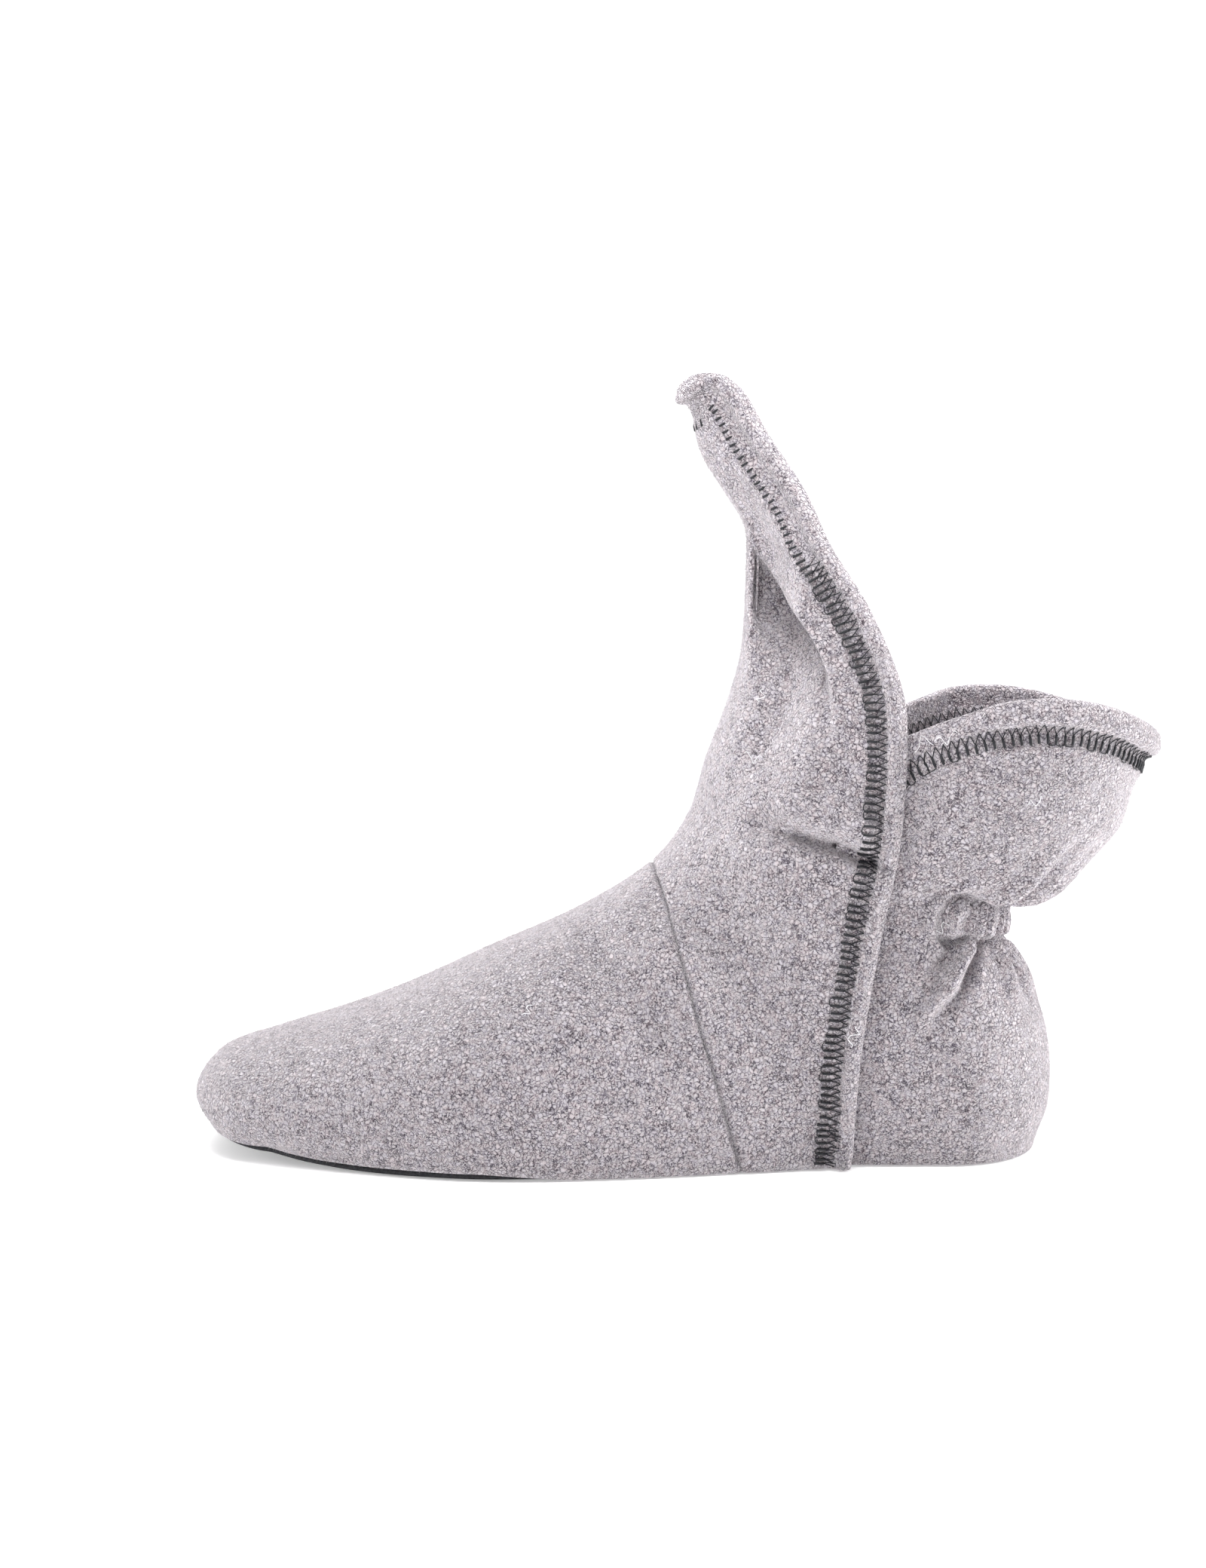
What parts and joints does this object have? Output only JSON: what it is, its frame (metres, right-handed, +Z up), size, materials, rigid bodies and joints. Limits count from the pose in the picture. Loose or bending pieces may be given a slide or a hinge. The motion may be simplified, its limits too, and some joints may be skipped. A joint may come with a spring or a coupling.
{
  "type": "bootie slipper",
  "caption": "Left fleece bootie slipper with a tall pointed front flap, a flared hemmed collar gathered above the heel, and a thin dark grip sole.",
  "frame": {"origin": "on the flat sole bottom, halfway along the foot", "axes": "+Z up, toe towards -X, lateral side towards -Y"},
  "size_m": [0.297, 0.0952, 0.2351],
  "materials": {
    "grip_sole": "matt dotted grip cloth",
    "fleece_footbed": "brushed polar fleece",
    "fleece": "brushed polar fleece, mauve grey",
    "gathered_fleece": "brushed polar fleece gathered on elastic",
    "stitching": "spun polyester thread, near black"
  },
  "bodies": {
    "root": {"outsole": "grip_sole", "insole": "fleece_footbed", "upper": "fleece", "back_quarter": "fleece", "elastic_casing": "gathered_fleece"}
  },
  "joints": []
}
